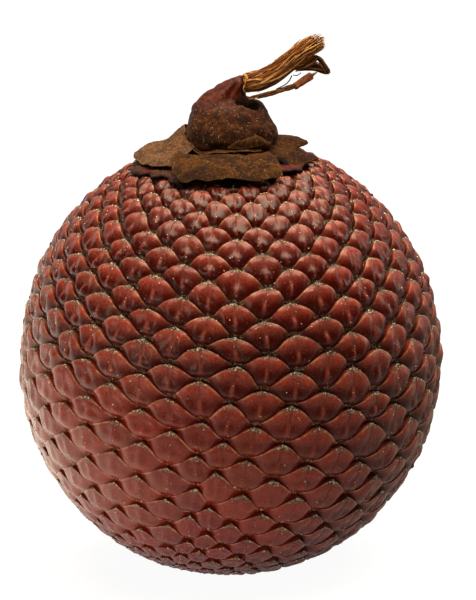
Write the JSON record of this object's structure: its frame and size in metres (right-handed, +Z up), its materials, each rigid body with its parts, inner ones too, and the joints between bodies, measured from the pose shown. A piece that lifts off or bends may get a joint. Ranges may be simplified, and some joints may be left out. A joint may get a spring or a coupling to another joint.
{
  "type": "buriti fruit",
  "caption": "Whole round palm fruit covered in glossy overlapping red-brown scales, with its dried calyx, horn-shaped cup and frayed stalk fibres on top.",
  "frame": {"origin": "the middle of the small flat spot that the fruit rests on", "axes": "+Z up through the calyx, -Y the front, +X the side that the horn and the stalk fibres lean to"},
  "size_m": [0.0502, 0.0502, 0.0641],
  "materials": {
    "scales": "satin",
    "disc": "matte",
    "husk": "matte",
    "cup": "matte",
    "fibre": "matte",
    "flake": "satin",
    "thread": "matte"
  },
  "bodies": {
    "root": {"fruit_body": "scales", "perianth_disc": "disc", "front_lobe": "husk", "left_lobe": "husk", "right_lobe": "husk", "calyx_collar": "husk", "calyx_cup": "cup", "fold_flap": "husk", "stalk_fibres": "fibre", "side_strand": "fibre", "lower_strand": "fibre", "bark_flake": "flake", "stalk_thread": "thread"}
  },
  "joints": []
}
